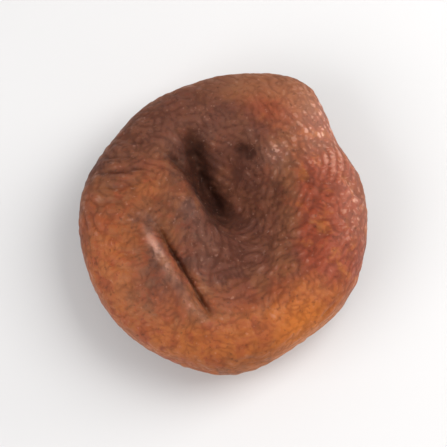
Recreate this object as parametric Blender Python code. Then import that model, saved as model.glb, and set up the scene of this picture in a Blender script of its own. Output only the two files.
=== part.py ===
"""A whole pitted apricot, sun-dried until brown, lying on its fuller cheek.

The fruit dried as one piece, so it is one closed body. A cube cut into a fine grid is blown out
to a ball, and the ball is then pressed into shape by formulas: a thick rolled rim round a hollow
upper cheek with its folds, a rounder lower cheek with the small flat spot that it rests on, the
long seam on the far side of the rim where the stone was squeezed out, and the puckers that
drying drew all over the skin.

Metres, +Z up, the origin on the surface that it rests on, under the middle of its box.
The fruit's front is towards -Y.
"""

import math

import bmesh
import bpy
import numpy as np

MM = 0.001

# Driving dimensions of the whole fruit
HALF_WIDTH = 18.6 * MM
HALF_LENGTH = 19.4 * MM
GIRTH_HEIGHT = 6.5 * MM
CROWN = 7.3 * MM
BELLY = 6.75 * MM
CROWN_POWER = 3.0
BELLY_POWER = 2.25

# The mesh: cells along each edge of the cube that is blown out, how far they crowd towards the
# crown, and the number of triangles that the fine skin is thinned to
CELLS = 96
CROWDING = 0.3
TRIANGLES = 10800

# Soft corners and flats of the outline: direction in degrees from +X, share of the radius, spread in degrees
OUTLINE = (
    (61, 0.115, 16),
    (270, 0.03, 15),
    (34, -0.055, 14),
    (305, -0.035, 15),
    (148, -0.018, 16),
    (108, -0.015, 14),
    (222, 0.012, 20),
)

# The hollow of the upper cheek: an oval, its long way turned from the Y axis towards -X
HOLLOW_CENTRE = (1.4 * MM, -0.2 * MM)
HOLLOW_SPREAD = (8.6 * MM, 11.6 * MM)
HOLLOW_TURN = math.radians(16)
HOLLOW_DEPTH = 5.2 * MM
HOLLOW_POWER = 2.4

# How the rim rises and falls: waves round the fruit, height, direction of the first crest in degrees
RIM_WAVES = ((2, 0.3 * MM, 205), (3, 0.3 * MM, 62), (5, 0.2 * MM, 20))


class Fold:
    """A line on the skin with a cut along it, or a ridge where the depth is below zero, and a lip on
    the line's left that can lean towards the cut."""

    def __init__(self, path, depth, width, lip=0.0, lip_width=2.0, lean=0.0, power=1.3):
        self.path = tuple((a * MM, b * MM) for a, b in path)
        self.depth = depth * MM
        self.width = width * MM
        self.lip = lip * MM
        self.lip_width = lip_width * MM
        self.lean = lean * MM
        self.power = power


# Folds of the upper cheek, in millimetres from the middle of the plan
CHEEK_FOLDS = (
    # The deep valley beside the tongue, and the slope that falls to it from the right
    Fold(((1.4, -4.4), (-0.3, 0.8), (-2.1, 3.9), (-3.3, 6.4), (-4.0, 8.8), (-4.6, 11.0), (-5.2, 13.0)),
         2.8, 1.6, 0.0, 2.6, 0.0, 1.7),
    Fold(((3.8, -5.0), (1.9, 2.2), (0.3, 6.2), (-1.4, 10.2)), 1.3, 3.2, 0.0, 1.0, 0.0, 2.0),
    # The upper edge of the tongue
    Fold(((0.4, -3.8), (-1.7, 0.2), (-3.3, 2.9), (-4.9, 5.4), (-7.0, 7.4), (-9.8, 9.0)),
         1.3, 1.0, 0.3, 2.0, 0.4, 1.5),
    # The sharp crease that the lower left of the rim rolls over
    Fold(((-0.4, -15.0), (-2.6, -13.0), (-4.4, -10.0), (-6.4, -6.6), (-8.4, -3.0), (-10.0, 1.0)),
         1.4, 0.65, 0.95, 2.3, 0.55, 1.4),
    # The furrows along the right of the rim
    Fold(((18.6, 1.6), (16.4, 3.8), (14.6, 6.6)), 0.45, 0.7, 0.15, 1.6, 0.1, 1.6),
    Fold(((14.6, 3.0), (12.8, 6.4), (11.6, 9.8)), 0.25, 0.8, 0.1, 1.6, 0.0, 1.6),
    # Short furrows on the inner slope at the right
    Fold(((9.2, 5.2), (11.6, 3.8), (13.8, 1.4)), 0.35, 0.5, 0.12, 1.0, 0.0, 1.6),
    Fold(((9.0, 2.4), (11.0, 1.2), (13.2, -1.0)), 0.35, 0.5, 0.12, 1.0, 0.0, 1.6),
    Fold(((9.4, -0.4), (11.4, -1.4), (13.6, -3.4)), 0.3, 0.5, 0.12, 1.0, 0.0, 1.6),
    # Furrows across the rim on the left
    Fold(((-17.8, 1.6), (-14.2, 1.2), (-10.8, 2.0)), 0.35, 0.6, 0.1, 1.2, 0.1, 1.6),
    Fold(((-17.6, 3.6), (-13.8, 3.2), (-10.0, 4.2)), 0.4, 0.55, 0.1, 1.1, 0.1, 1.6),
    Fold(((-17.4, 5.8), (-13.6, 5.5), (-9.8, 6.2)), 0.5, 0.6, 0.1, 1.1, 0.1, 1.6),
    Fold(((-16.4, 8.4), (-13.4, 7.6), (-10.2, 7.8)), 0.4, 0.6, 0.1, 1.1, 0.1, 1.6),
    Fold(((-14.6, 11.2), (-12.2, 10.0), (-9.6, 9.6)), 0.35, 0.65, 0.1, 1.2, 0.1, 1.6),
    # Dents of the hollow's far slope and of its right slope
    Fold(((1.2, 9.9), (2.8, 9.1), (4.2, 7.8)), 0.8, 0.9, 0.0, 1.0, 0.0, 1.8),
    Fold(((7.6, 5.0), (6.9, 2.6), (7.8, 0.4)), 0.5, 0.9, 0.2, 1.5, 0.0, 1.8),
    # Low ridges on the floor near the front and on the far part of the rim
    Fold(((-0.6, -9.2), (1.8, -8.6), (4.2, -9.2)), -0.4, 0.9, 0.0, 1.0, 0.0, 1.8),
    Fold(((5.4, 15.0), (6.8, 14.5), (8.4, 13.2)), -0.35, 0.9, 0.0, 1.0, 0.0, 1.8),
)

# The tongue of flesh that reaches from the left of the rim into the hollow
TONGUE = ((-13.0 * MM, 7.0 * MM), (-8.4 * MM, 4.0 * MM), (-5.0 * MM, 0.6 * MM), (-2.6 * MM, -3.2 * MM))
TONGUE_HEIGHT = 2.4 * MM
TONGUE_WIDTH = 3.4 * MM

# Folds of the lower cheek, in millimetres from the middle of the plan
BELLY_FOLDS = (
    Fold(((-13.0, -8.0), (-9.0, -9.6), (-4.0, -11.6), (2.0, -11.4)), 1.0, 1.0, 0.3, 2.0, 0.2),
    Fold(((12.6, 9.0), (11.6, 3.0), (8.6, -3.0)), 0.9, 1.1, 0.3, 2.0, 0.2),
    Fold(((-12.0, 6.0), (-8.0, 9.4), (-2.0, 12.2)), 0.8, 0.9, 0.2, 2.0, 0.2),
)

# The seam round the far side of the rim: points as arc from +X along the girth and height above the girth
SEAM = Fold(((19.0, 2.6), (26.0, 0.9), (33.0, 0.1), (41.0, 0.3), (50.0, 1.8)), 0.9, 0.55, 0.55, 1.9, 0.0, 1.2)
SLIT_DEPTH = 1.5 * MM
SLIT_SPAN = (0.36, 0.74)

# Puckers of the skin, as short wavelets laid over each other
PUCKER_SEED = 11
PUCKER_COUNT = 420
PUCKER_LENGTH = 4.2 * MM
PUCKER_ABOVE = 0.12 * MM
PUCKER_BELOW = 0.3 * MM
PUCKER_AT_GIRTH = 0.3

# A point lower than this belongs to the flat resting spot
RESTING = 0.02 * MM

PATH_STEPS = 56


def smooth_step(low, high, value):
    """0 below low, 1 above high, with an S between them."""
    t = np.clip((value - low) / (high - low), 0.0, 1.0)
    return t * t * (3.0 - 2.0 * t)


def bell(value, spread):
    return np.exp(-((value / spread) ** 2))


def smooth_path(points, steps):
    """A Catmull-Rom curve through the points, at evenly spaced parameters."""
    p = np.array(points, float)
    p = np.vstack((2 * p[0] - p[1], p, 2 * p[-1] - p[-2]))
    at = np.linspace(0.0, len(points) - 1.0, steps)
    k = np.minimum(at.astype(int), len(points) - 2)
    t = (at - k)[:, None]
    a, b, c, d = p[k], p[k + 1], p[k + 2], p[k + 3]
    return 0.5 * (2 * b + (c - a) * t + (2 * a - 5 * b + 4 * c - d) * t**2 + (3 * b - a - 3 * c + d) * t**3)


def beside_path(points, u, v):
    """For each place (u, v): its distance from the path, positive on the left, the share of the way
    along, and the path's left-hand direction there."""
    path = smooth_path(points, PATH_STEPS)
    ahead = np.gradient(path, axis=0)
    step = np.hypot(ahead[:, 0], ahead[:, 1])
    ahead /= step[:, None]
    near = np.argmin((u[:, None] - path[:, 0]) ** 2 + (v[:, None] - path[:, 1]) ** 2, axis=1)
    du, dv = u - path[near, 0], v - path[near, 1]
    tu, tv = ahead[near, 0], ahead[near, 1]
    onward = du * tu + dv * tv
    past_end = np.maximum(np.abs(onward) - step[near], 0.0)
    aside = tu * dv - tv * du
    away = np.copysign(np.hypot(aside, past_end), aside)
    along = (near + np.clip(onward / step[near], -0.5, 0.5)) / (PATH_STEPS - 1.0)
    return away, np.clip(along, 0.0, 1.0), -tv, tu


def folded(fold, u, v):
    """How far a fold sinks the skin at (u, v), and how far its lip slides sideways over the cut."""
    away, along, left_u, left_v = beside_path(fold.path, u, v)
    fade = smooth_step(0.0, 0.3, along) * smooth_step(-1.0, -0.7, -along)
    cut = fold.depth * np.exp(-((np.abs(away) / fold.width) ** fold.power))
    lip = fold.lip * bell(away - fold.lip_width, fold.lip_width)
    slide = fold.lean * bell(away - 0.6 * fold.lip_width, 0.7 * fold.lip_width) * fade
    return (cut - lip) * fade, -slide * left_u, -slide * left_v


def outline(azimuth):
    """The plan's radius as a share of the ellipse: 1, with a bell for each soft corner and flat."""
    share = np.ones_like(azimuth)
    for direction, rise, spread in OUTLINE:
        turn = np.degrees(azimuth) - direction
        share += rise * bell((turn + 180.0) % 360.0 - 180.0, spread)
    return share


def body(directions):
    """Where each direction of the ball lands on the fruit, before the puckers."""
    x, y, z = directions.T
    azimuth = np.arctan2(y, x)
    level = np.hypot(x, y)

    # A slice is a super-ellipse: reach runs from 0 in the middle to 1 at the girth, lift from -1 to 1
    power = np.where(z > 0, CROWN_POWER, BELLY_POWER)
    size = (level**power + np.abs(z) ** power) ** (1.0 / power)
    reach, lift = level / size, z / size
    height = np.where(z > 0, CROWN, BELLY)
    share = outline(azimuth)
    ux, uy = np.cos(azimuth), np.sin(azimuth)
    px = reach * HALF_WIDTH * share * ux
    py = reach * HALF_LENGTH * share * uy
    pz = GIRTH_HEIGHT + lift * height

    # The direction that a sunk place moves along: the super-ellipse's own normal
    steep = reach ** (power - 1.0)
    nx, ny = steep * ux / HALF_WIDTH, steep * uy / HALF_LENGTH
    nz = np.sign(z) * np.abs(lift) ** (power - 1.0) / height
    length = np.sqrt(nx**2 + ny**2 + nz**2)
    nx, ny, nz = nx / length, ny / length, nz / length

    above = smooth_step(-0.15, 0.45, lift)
    below = smooth_step(0.05, 0.5, -lift)
    flank = smooth_step(0.72, 0.94, reach)

    from_u, from_v = px - HOLLOW_CENTRE[0], py - HOLLOW_CENTRE[1]
    hollow_u = (from_u * math.cos(HOLLOW_TURN) + from_v * math.sin(HOLLOW_TURN)) / HOLLOW_SPREAD[0]
    hollow_v = (from_v * math.cos(HOLLOW_TURN) - from_u * math.sin(HOLLOW_TURN)) / HOLLOW_SPREAD[1]
    sink = HOLLOW_DEPTH * np.exp(-(np.hypot(hollow_u, hollow_v) ** HOLLOW_POWER)) * above
    for count, rise, crest in RIM_WAVES:
        sink -= rise * np.cos(count * (azimuth - math.radians(crest))) * reach**2 * above

    slide_x, slide_y = np.zeros_like(px), np.zeros_like(py)
    for folds, side in ((CHEEK_FOLDS, above), (BELLY_FOLDS, below)):
        for fold in folds:
            cut, along_x, along_y = folded(fold, px, py)
            sink += cut * side
            slide_x += along_x * side
            slide_y += along_y * side

    away, along, _, _ = beside_path(TONGUE, px, py)
    sink -= TONGUE_HEIGHT * bell(away, TONGUE_WIDTH) * smooth_step(0.1, 0.7, along) * above

    arc = (azimuth % (2 * math.pi)) * HALF_WIDTH
    cut, _, _ = folded(SEAM, arc, pz - GIRTH_HEIGHT)
    away, along, _, _ = beside_path(SEAM.path, arc, pz - GIRTH_HEIGHT)
    open_part = smooth_step(SLIT_SPAN[0], SLIT_SPAN[0] + 0.1, along)
    open_part *= smooth_step(-SLIT_SPAN[1], 0.1 - SLIT_SPAN[1], -along)
    sink += (cut + SLIT_DEPTH * bell(away, SEAM.width) * open_part) * flank

    return np.stack((px + slide_x - nx * sink, py + slide_y - ny * sink, pz - nz * sink), axis=1)


def spiral_directions(count):
    """Directions spread evenly over the ball, along a spiral with the golden angle."""
    k = np.arange(count) + 0.5
    z = 1.0 - 2.0 * k / count
    turn = math.pi * (1.0 + math.sqrt(5.0)) * k
    level = np.sqrt(1.0 - z * z)
    return np.stack((level * np.cos(turn), level * np.sin(turn), z), axis=1)


def skin_axes(directions):
    """At each direction: the place on the body, the way down the slice from the pole, and the way round."""
    tiny = 1e-3
    x, y, z = directions.T
    level = np.maximum(np.hypot(x, y), 1e-6)
    down = np.stack((x * z / level, y * z / level, -level), axis=1)
    round_way = np.stack((-y / level, x / level, np.zeros_like(x)), axis=1)
    place = body(directions)
    ways = []
    for way in (down, round_way):
        moved = directions + tiny * way
        step = body(moved / np.linalg.norm(moved, axis=1, keepdims=True)) - place
        ways.append(step / np.linalg.norm(step, axis=1, keepdims=True))
    return place, ways[0], ways[1]


def grain(directions):
    """How far the puckers turn from straight down the slice, in radians: little on the left of the rim,
    most of a quarter turn on the right, and wandering on the lower cheek."""
    x, y, z = directions.T
    swirl = 0.5 * np.sin(3.1 * x + 1.7 * y + 2.3 * z) + 0.4 * np.sin(4.3 * y - 2.9 * z + 0.8)
    return swirl * (1.0 + smooth_step(0.2, 0.6, -z)) + 1.2 * smooth_step(-0.4, 0.3, x)


def puckers(points, count, length, seed):
    """The sum of many short wavelets on the skin, about 1 high: each is a cosine across its grain,
    under a bell that is longer along the grain than across it."""
    dice = np.random.default_rng(seed)
    directions = spiral_directions(count) + dice.normal(0.0, 0.5 / math.sqrt(count), (count, 3))
    directions /= np.linalg.norm(directions, axis=1, keepdims=True)
    place, down, round_way = skin_axes(directions)
    turn = grain(directions) + dice.normal(0.0, 0.35, count)
    wave = length * dice.uniform(0.75, 1.3, count)
    phase = dice.uniform(0.0, 2.0 * math.pi, count)
    along = np.cos(turn)[:, None] * down + np.sin(turn)[:, None] * round_way
    across = np.cos(turn)[:, None] * round_way - np.sin(turn)[:, None] * down
    out = np.cross(along, across)
    total = np.zeros(len(points))
    weight = np.zeros(len(points))
    for k in range(count):
        near = np.flatnonzero(np.abs(points - place[k]).max(axis=1) < 2.2 * wave[k])
        offset = points[near] - place[k]
        a, b, c = offset @ along[k], offset @ across[k], offset @ out[k]
        a, b, c = a / wave[k], b / wave[k], c / wave[k]
        hill = np.exp(-((a / 0.85) ** 2 + (b / 0.5) ** 2 + (c / 0.6) ** 2))
        total[near] += hill * np.cos(2.0 * math.pi * b + phase[k])
        weight[near] += hill**2
    return total / np.sqrt(weight + 0.05)


def vertex_normals(points, quads):
    """The mean of the normals of the faces round each point."""
    a, b, c, d = (points[quads[:, k]] for k in range(4))
    face = np.cross(c - a, d - b)
    normals = np.zeros_like(points)
    for k in range(4):
        np.add.at(normals, quads[:, k], face)
    return normals / np.linalg.norm(normals, axis=1, keepdims=True)


def blown_cube(cells):
    """A cube cut into a grid and blown out to a ball, with its points as unit directions."""
    bm = bmesh.new()
    bmesh.ops.create_cube(bm, size=2.0)
    bmesh.ops.subdivide_edges(bm, edges=bm.edges, cuts=cells - 1, use_grid_fill=True)
    bmesh.ops.recalc_face_normals(bm, faces=bm.faces)
    mesh = bpy.data.meshes.new("apricot")
    bm.to_mesh(mesh)
    bm.free()
    grid = np.empty(len(mesh.vertices) * 3)
    mesh.vertices.foreach_get("co", grid)
    ball = np.tan(grid.reshape(-1, 3) * math.pi / 4.0)
    ball /= np.linalg.norm(ball, axis=1, keepdims=True)
    ball[:, 2] += CROWDING
    return mesh, ball / np.linalg.norm(ball, axis=1, keepdims=True)


def settled(points):
    """The points with the resting spot pressed flat and the middle of their box over the origin."""
    points[points[:, 2] < RESTING, 2] = 0.0
    middle = (points.min(axis=0) + points.max(axis=0)) / 2.0
    points[:, :2] -= middle[:2]
    return points


def fruit_points(directions, quads):
    """The body with its puckers, settled on its lower cheek."""
    points = body(directions)
    normals = vertex_normals(points, quads)
    wave = puckers(points, PUCKER_COUNT, PUCKER_LENGTH, PUCKER_SEED)
    height = PUCKER_BELOW + (PUCKER_ABOVE - PUCKER_BELOW) * smooth_step(3.0 * MM, 9.0 * MM, points[:, 2])
    at_girth = smooth_step(0.45, 0.85, 1.0 - np.abs(normals[:, 2]))
    height *= 1.0 - (1.0 - PUCKER_AT_GIRTH) * at_girth
    height *= smooth_step(0.0, 1.6 * MM, points[:, 2])
    return settled(points + normals * (height * (np.sqrt(wave**2 + 0.03) - 0.8))[:, None])


def skin_material():
    material = bpy.data.materials.new("dried_skin")
    material.use_nodes = True
    shader = material.node_tree.nodes["Principled BSDF"]
    shader.inputs["Base Color"].default_value = (0.30, 0.11, 0.045, 1.0)
    shader.inputs["Roughness"].default_value = 0.5
    shader.inputs["Metallic"].default_value = 0.0
    return material


def thin_out(apricot, triangles):
    """Drop the triangles that tell least of the shape, then settle the fruit again."""
    thin = apricot.modifiers.new("thin", "DECIMATE")
    thin.ratio = triangles / (2.0 * len(apricot.data.polygons))
    thin.use_collapse_triangulate = True
    bpy.context.view_layer.update()
    mesh = bpy.data.meshes.new_from_object(apricot.evaluated_get(bpy.context.evaluated_depsgraph_get()))
    apricot.modifiers.clear()
    apricot.data = mesh
    points = np.empty(len(mesh.vertices) * 3)
    mesh.vertices.foreach_get("co", points)
    mesh.vertices.foreach_set("co", settled(points.reshape(-1, 3)).ravel())
    mesh.update()


def make_apricot(cells=CELLS, triangles=TRIANGLES):
    mesh, directions = blown_cube(cells)
    quads = np.empty(len(mesh.polygons) * 4, int)
    mesh.polygons.foreach_get("vertices", quads)
    points = fruit_points(directions, quads.reshape(-1, 4))
    mesh.vertices.foreach_set("co", points.ravel())
    mesh.materials.append(skin_material())
    mesh.shade_smooth()
    mesh.update()
    apricot = bpy.data.objects.new("apricot", mesh)
    bpy.context.scene.collection.objects.link(apricot)
    if triangles:
        thin_out(apricot, triangles)
    return apricot


def main():
    for old in list(bpy.data.objects):
        bpy.data.objects.remove(old)
    make_apricot()


main()
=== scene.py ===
"""A whole pitted apricot, sun-dried until brown, lying on a pale table.

The fruit is one closed skin. A cube's six grids are blown out to a ball, and the ball is pressed
into shape by formulas: a thick rolled rim round a hollow upper cheek with its folds, a rounder
lower cheek, the long seam on the far side of the rim, and puckers of three sizes. The same
formulas leave masks on the skin, and its material reads them for colour, gloss and fine grain.

Metres, +Z up, the origin on the table under the middle of the fruit, its front towards -Y.
"""

import math

import bpy
import numpy as np
from bpy.props import FloatProperty, FloatVectorProperty, IntProperty, PointerProperty
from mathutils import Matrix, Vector


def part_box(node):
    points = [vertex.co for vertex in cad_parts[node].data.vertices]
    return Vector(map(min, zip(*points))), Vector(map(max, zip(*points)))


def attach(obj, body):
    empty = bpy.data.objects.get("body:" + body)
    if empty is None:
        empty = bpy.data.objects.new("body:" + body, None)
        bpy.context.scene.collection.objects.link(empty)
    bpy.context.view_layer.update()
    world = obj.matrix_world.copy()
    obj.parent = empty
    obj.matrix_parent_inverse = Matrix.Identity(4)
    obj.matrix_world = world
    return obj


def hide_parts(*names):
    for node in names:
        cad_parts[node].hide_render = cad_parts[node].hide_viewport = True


bl_info = {
    "name": "Dried apricot",
    "version": (1, 0, 0),
    "blender": (4, 5, 0),
    "location": "3D View > Sidebar > Apricot",
    "description": "Makes a whole dried apricot and the plain table and light that it is shown in",
    "category": "Add Mesh",
}

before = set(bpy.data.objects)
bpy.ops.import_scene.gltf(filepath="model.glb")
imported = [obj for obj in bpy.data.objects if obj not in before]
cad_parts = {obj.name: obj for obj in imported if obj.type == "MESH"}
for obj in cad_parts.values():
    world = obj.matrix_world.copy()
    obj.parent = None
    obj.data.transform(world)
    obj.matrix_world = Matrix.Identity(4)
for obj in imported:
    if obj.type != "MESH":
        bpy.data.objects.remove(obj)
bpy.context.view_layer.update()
LOWEST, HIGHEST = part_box("apricot")
FRUIT_SIZE = tuple(HIGHEST - LOWEST)

MM = 0.001

# The form of the whole fruit
HALF_WIDTH = 18.6 * MM
HALF_LENGTH = 19.4 * MM
GIRTH_HEIGHT = 6.5 * MM
CROWN = 7.3 * MM
BELLY = 6.75 * MM
CROWN_POWER = 3.0
BELLY_POWER = 2.25
CROWDING = 0.3
RESTING = 0.02 * MM

# Where the cheeks and the flank begin and are in full: shares of a slice's height, and of its reach
UPPER_CHEEK = (-0.15, 0.45)
LOWER_CHEEK = (0.05, 0.5)
FLANK = (0.72, 0.94)

# Soft corners and flats of the outline: direction in degrees from +X, share of the radius, spread in degrees
OUTLINE = (
    (61, 0.115, 16),
    (270, 0.03, 15),
    (34, -0.055, 14),
    (305, -0.035, 15),
    (148, -0.018, 16),
    (108, -0.015, 14),
    (222, 0.012, 20),
)

# The hollow of the upper cheek: an oval, its long way turned from the Y axis towards -X
HOLLOW_CENTRE = (1.4 * MM, -0.2 * MM)
HOLLOW_SPREAD = (8.6 * MM, 11.6 * MM)
HOLLOW_TURN = math.radians(16)
HOLLOW_DEPTH = 5.2 * MM
HOLLOW_POWER = 2.4

# How the rim rises and falls: waves round the fruit, height, direction of the first crest in degrees
RIM_WAVES = ((2, 0.3 * MM, 205), (3, 0.3 * MM, 62), (5, 0.2 * MM, 20))


class Fold:
    """A line on the skin with a cut along it, or a ridge where the depth is below zero, and a lip on
    the line's left that can lean towards the cut. Its last setting is how dark the cut's bottom is painted,
    of 1:
    painted shade there together with the skin's darker colour."""

    def __init__(self, path, depth, width, lip=0.0, lip_width=2.0, lean=0.0, power=1.3, shade_and_stain=1.0):
        self.path = tuple((a * MM, b * MM) for a, b in path)
        self.depth = depth * MM
        self.width = width * MM
        self.lip = lip * MM
        self.lip_width = lip_width * MM
        self.lean = lean * MM
        self.power = power
        self.shade_and_stain = shade_and_stain


# The sharp crease that the lower left of the rim rolls over
ROLLED_EDGE = Fold(
    ((-0.4, -15.0), (-2.6, -13.0), (-4.4, -10.0), (-6.4, -6.6), (-8.4, -3.0), (-10.0, 1.0)),
    1.4, 0.65, 0.95, 2.3, 0.55, 1.4, shade_and_stain=0.65)

# The share of a fold's length over which each of its ends fades
FOLD_END = 0.3

# Where a leaning lip is at its steepest, and how far that spreads, as shares of the lip's width
LEAN_PLACE = 0.6
LEAN_SPREAD = 0.7

# Folds of the upper cheek, in millimetres from the middle of the plan
CHEEK_FOLDS = (
    # The deep valley beside the tongue, and the slope that falls to it from the right
    Fold(((1.4, -4.4), (-0.3, 0.8), (-2.1, 3.9), (-3.3, 6.4), (-4.0, 8.8), (-4.6, 11.0), (-5.2, 13.0)),
         2.8, 1.6, 0.0, 2.6, 0.0, 1.7, shade_and_stain=0.5),
    Fold(((3.8, -5.0), (1.9, 2.2), (0.3, 6.2), (-1.4, 10.2)), 1.3, 3.2, 0.0, 1.0, 0.0, 2.0, shade_and_stain=0.15),
    # The upper edge of the tongue
    Fold(((0.4, -3.8), (-1.7, 0.2), (-3.3, 2.9), (-4.9, 5.4), (-7.0, 7.4), (-9.8, 9.0)),
         1.3, 1.0, 0.3, 2.0, 0.4, 1.5),
    ROLLED_EDGE,
    # The furrows along the right of the rim
    Fold(((18.6, 1.6), (16.4, 3.8), (14.6, 6.6)), 0.45, 0.7, 0.15, 1.6, 0.1, 1.6),
    Fold(((14.6, 3.0), (12.8, 6.4), (11.6, 9.8)), 0.25, 0.8, 0.1, 1.6, 0.0, 1.6),
    # Short furrows on the inner slope at the right
    Fold(((9.2, 5.2), (11.6, 3.8), (13.8, 1.4)), 0.35, 0.5, 0.12, 1.0, 0.0, 1.6),
    Fold(((9.0, 2.4), (11.0, 1.2), (13.2, -1.0)), 0.35, 0.5, 0.12, 1.0, 0.0, 1.6),
    Fold(((9.4, -0.4), (11.4, -1.4), (13.6, -3.4)), 0.3, 0.5, 0.12, 1.0, 0.0, 1.6),
    # Furrows across the rim on the left
    Fold(((-17.8, 1.6), (-14.2, 1.2), (-10.8, 2.0)), 0.35, 0.6, 0.1, 1.2, 0.1, 1.6),
    Fold(((-17.6, 3.6), (-13.8, 3.2), (-10.0, 4.2)), 0.4, 0.55, 0.1, 1.1, 0.1, 1.6),
    Fold(((-17.4, 5.8), (-13.6, 5.5), (-9.8, 6.2)), 0.5, 0.6, 0.1, 1.1, 0.1, 1.6),
    Fold(((-16.4, 8.4), (-13.4, 7.6), (-10.2, 7.8)), 0.4, 0.6, 0.1, 1.1, 0.1, 1.6),
    Fold(((-14.6, 11.2), (-12.2, 10.0), (-9.6, 9.6)), 0.35, 0.65, 0.1, 1.2, 0.1, 1.6),
    # Dents of the hollow's far slope and of its right slope
    Fold(((1.2, 9.9), (2.8, 9.1), (4.2, 7.8)), 0.8, 0.9, 0.0, 1.0, 0.0, 1.8),
    Fold(((7.6, 5.0), (6.9, 2.6), (7.8, 0.4)), 0.5, 0.9, 0.2, 1.5, 0.0, 1.8),
    # Low ridges on the floor near the front and on the far part of the rim
    Fold(((-0.6, -9.2), (1.8, -8.6), (4.2, -9.2)), -0.4, 0.9, 0.0, 1.0, 0.0, 1.8),
    Fold(((5.4, 15.0), (6.8, 14.5), (8.4, 13.2)), -0.35, 0.9, 0.0, 1.0, 0.0, 1.8),
)

# The tongue of flesh that reaches from the left of the rim into the hollow
TONGUE = ((-13.0 * MM, 7.0 * MM), (-8.4 * MM, 4.0 * MM), (-5.0 * MM, 0.6 * MM), (-2.6 * MM, -3.2 * MM))
TONGUE_HEIGHT = 2.4 * MM
TONGUE_WIDTH = 3.4 * MM
TONGUE_RISE = (0.1, 0.7)

# Folds of the lower cheek, in millimetres from the middle of the plan
BELLY_FOLDS = (
    Fold(((-13.0, -8.0), (-9.0, -9.6), (-4.0, -11.6), (2.0, -11.4)), 1.0, 1.0, 0.3, 2.0, 0.2),
    Fold(((12.6, 9.0), (11.6, 3.0), (8.6, -3.0)), 0.9, 1.1, 0.3, 2.0, 0.2),
    Fold(((-12.0, 6.0), (-8.0, 9.4), (-2.0, 12.2)), 0.8, 0.9, 0.2, 2.0, 0.2),
)

# The seam round the far side of the rim: points as arc from +X along the girth and height above the girth
SEAM = Fold(((19.0, 2.6), (26.0, 0.9), (33.0, 0.1), (41.0, 0.3), (50.0, 1.8)), 0.9, 0.55, 0.55, 1.9, 0.0, 1.2)

# The slit in the seam: its depth, and its span and the length of its ends as shares of the seam
SLIT_DEPTH = 1.5 * MM
SLIT_SPAN = (0.36, 0.74)
SLIT_END = 0.1

# How far the seam's colour spreads, in widths of its cut
SEAM_NEARBY = 3.0

# Points along each smooth line
PATH_STEPS = 56

# Puckers of the skin: seed, number of wavelets, their length, and how far they stray from the grain
COARSE = (11, 420, 4.2 * MM, 0.35)
MIDDLE = (23, 1300, 2.5 * MM, 0.55)
FINE = (37, 3600, 1.35 * MM, 1.1)

# A wavelet's spread along its grain, across it and outwards, and where it is cut off, all in its lengths
WAVELET_SPREAD = (0.85, 0.5, 0.6)
WAVELET_REACH = 2.2

# The least and most share of its kind's length that a wavelet has, and what keeps thinly covered skin even
WAVELET_LENGTHS = (0.75, 1.3)
WEIGHT_FLOOR = 0.05

# How round the puffy ridges' valleys are, and the ridges' mean
PUFF_ROUNDING = 0.03
PUFF_MEAN = 0.8

# Where the puckers change from the lower cheek's height to the upper cheek's, and where the skin is clear
# of the table
PUCKER_CHANGE = (3.0 * MM, 9.0 * MM)
CLEAR_OF_TABLE = 1.6 * MM

# How steep the skin is where the girth begins and is in full, and the share of the puckers left there
GIRTH_SLOPE = (0.45, 0.85)
PUCKER_AT_GIRTH = 0.3

# How far tight skin flattens the wrinkles, and the shares that are left of the crinkles on it, of both on
# the table, and of both in the slit, with where the slit begins
TIGHTNESS = 0.75
CRINKLE_ON_TIGHT = 0.4
WRINKLE_ON_TABLE = 0.25
WRINKLE_IN_SLIT = 0.1
SLIT_LIPS = (0.05, 0.4)

# For the masks: the depth of a fold whose painted shade, over the fold's darker skin, is full, and how
# wrinkles and crinkles add to the relief
FULLY_SHADED_FOLD = 2.0 * MM
RELIEF_OF_WRINKLES = 0.45
RELIEF_OF_CRINKLES = 0.3

# The shaded floor of the hollow: its middle, spread, how narrow it is, and the heights of its edges
SHADE_CENTRE = (1.5 * MM, -1.5 * MM)
SHADE_SPREAD = 12.5 * MM
SHADE_NARROW = 0.95
SHADE_LOWER_EDGE = (4.0 * MM, 6.0 * MM)
SHADE_UPPER_EDGE = (8.8 * MM, 13.2 * MM)

# The painted highlight on the crest beside the sharp crease: how far it lies from the crease, its spread, its
# ends and its brightest place as shares of the crease's length, its share elsewhere, and the heights where it
# begins
CREST_AWAY = 1.15 * MM
CREST_SPREAD = 0.55 * MM
CREST_START = (0.1, 0.35)
CREST_END = (0.8, 0.95)
CREST_BRIGHTEST = 0.69
CREST_BRIGHT_SPREAD = 0.11
CREST_ELSEWHERE = 0.2
CREST_HEIGHT = (9.0 * MM, 10.5 * MM)

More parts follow.
